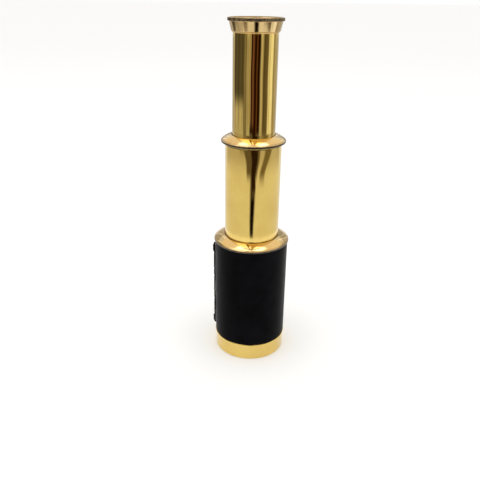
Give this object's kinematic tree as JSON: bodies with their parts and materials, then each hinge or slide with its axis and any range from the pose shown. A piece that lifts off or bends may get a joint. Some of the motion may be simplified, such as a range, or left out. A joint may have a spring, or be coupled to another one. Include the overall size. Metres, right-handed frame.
{
  "type": "pocket telescope",
  "caption": "Three-section draw telescope in polished brass with a stitched leather barrel, two sliding draw tubes and a knurled eye cup.",
  "frame": {"origin": "centre of the objective rim's front face, on the optical axis, where the telescope stands", "axes": "+Z along the optical axis from the objective to the eye; the leather's seam is close to -X, and the telescope is drawn out to its stops"},
  "size_m": [0.0354, 0.0346, 0.1524],
  "materials": {
    "polished_brass": "polished to a mirror",
    "lacquered_brass": "turned, polished and lacquered",
    "turned_brass": "turned, unpolished",
    "blackened_brass": "chemically blackened against stray light",
    "black_leather": "smooth glazed leather",
    "waxed_thread": "waxed thread",
    "optical_glass": "ground and polished"
  },
  "bodies": {
    "barrel": {"objective_cell": "polished_brass", "objective_crown_lens": "optical_glass", "objective_flint_lens": "optical_glass", "objective_retaining_ring": "blackened_brass", "barrel_tube": "turned_brass", "leather_sleeve": "black_leather", "seam_thread": "waxed_thread", "barrel_collar": "lacquered_brass", "barrel_guide_sleeve": "turned_brass"},
    "middle_draw": {"middle_draw_tube": "polished_brass", "middle_stop_ring": "turned_brass", "middle_collar": "lacquered_brass", "middle_guide_sleeve": "turned_brass"},
    "eyepiece_draw": {"eyepiece_draw_tube": "polished_brass", "eyepiece_stop_ring": "turned_brass", "erector_cell": "blackened_brass", "erector_front_ring": "blackened_brass", "erector_front_lens": "optical_glass", "erector_stop": "blackened_brass", "erector_rear_lens": "optical_glass", "erector_rear_ring": "blackened_brass", "eyepiece_cell": "blackened_brass", "field_lens_ring": "blackened_brass", "field_lens": "optical_glass", "field_stop": "blackened_brass", "eye_lens_ring": "blackened_brass", "eye_lens": "optical_glass", "eye_cup": "lacquered_brass"}
  },
  "joints": [
    {"name": "middle_slide", "type": "slide", "parent": "barrel", "child": "middle_draw", "axis": [0, 0, 1], "range_m": [-0.042, 0]},
    {"name": "eyepiece_slide", "type": "slide", "parent": "middle_draw", "child": "eyepiece_draw", "axis": [0, 0, 1], "range_m": [-0.0406, 0]}
  ]
}
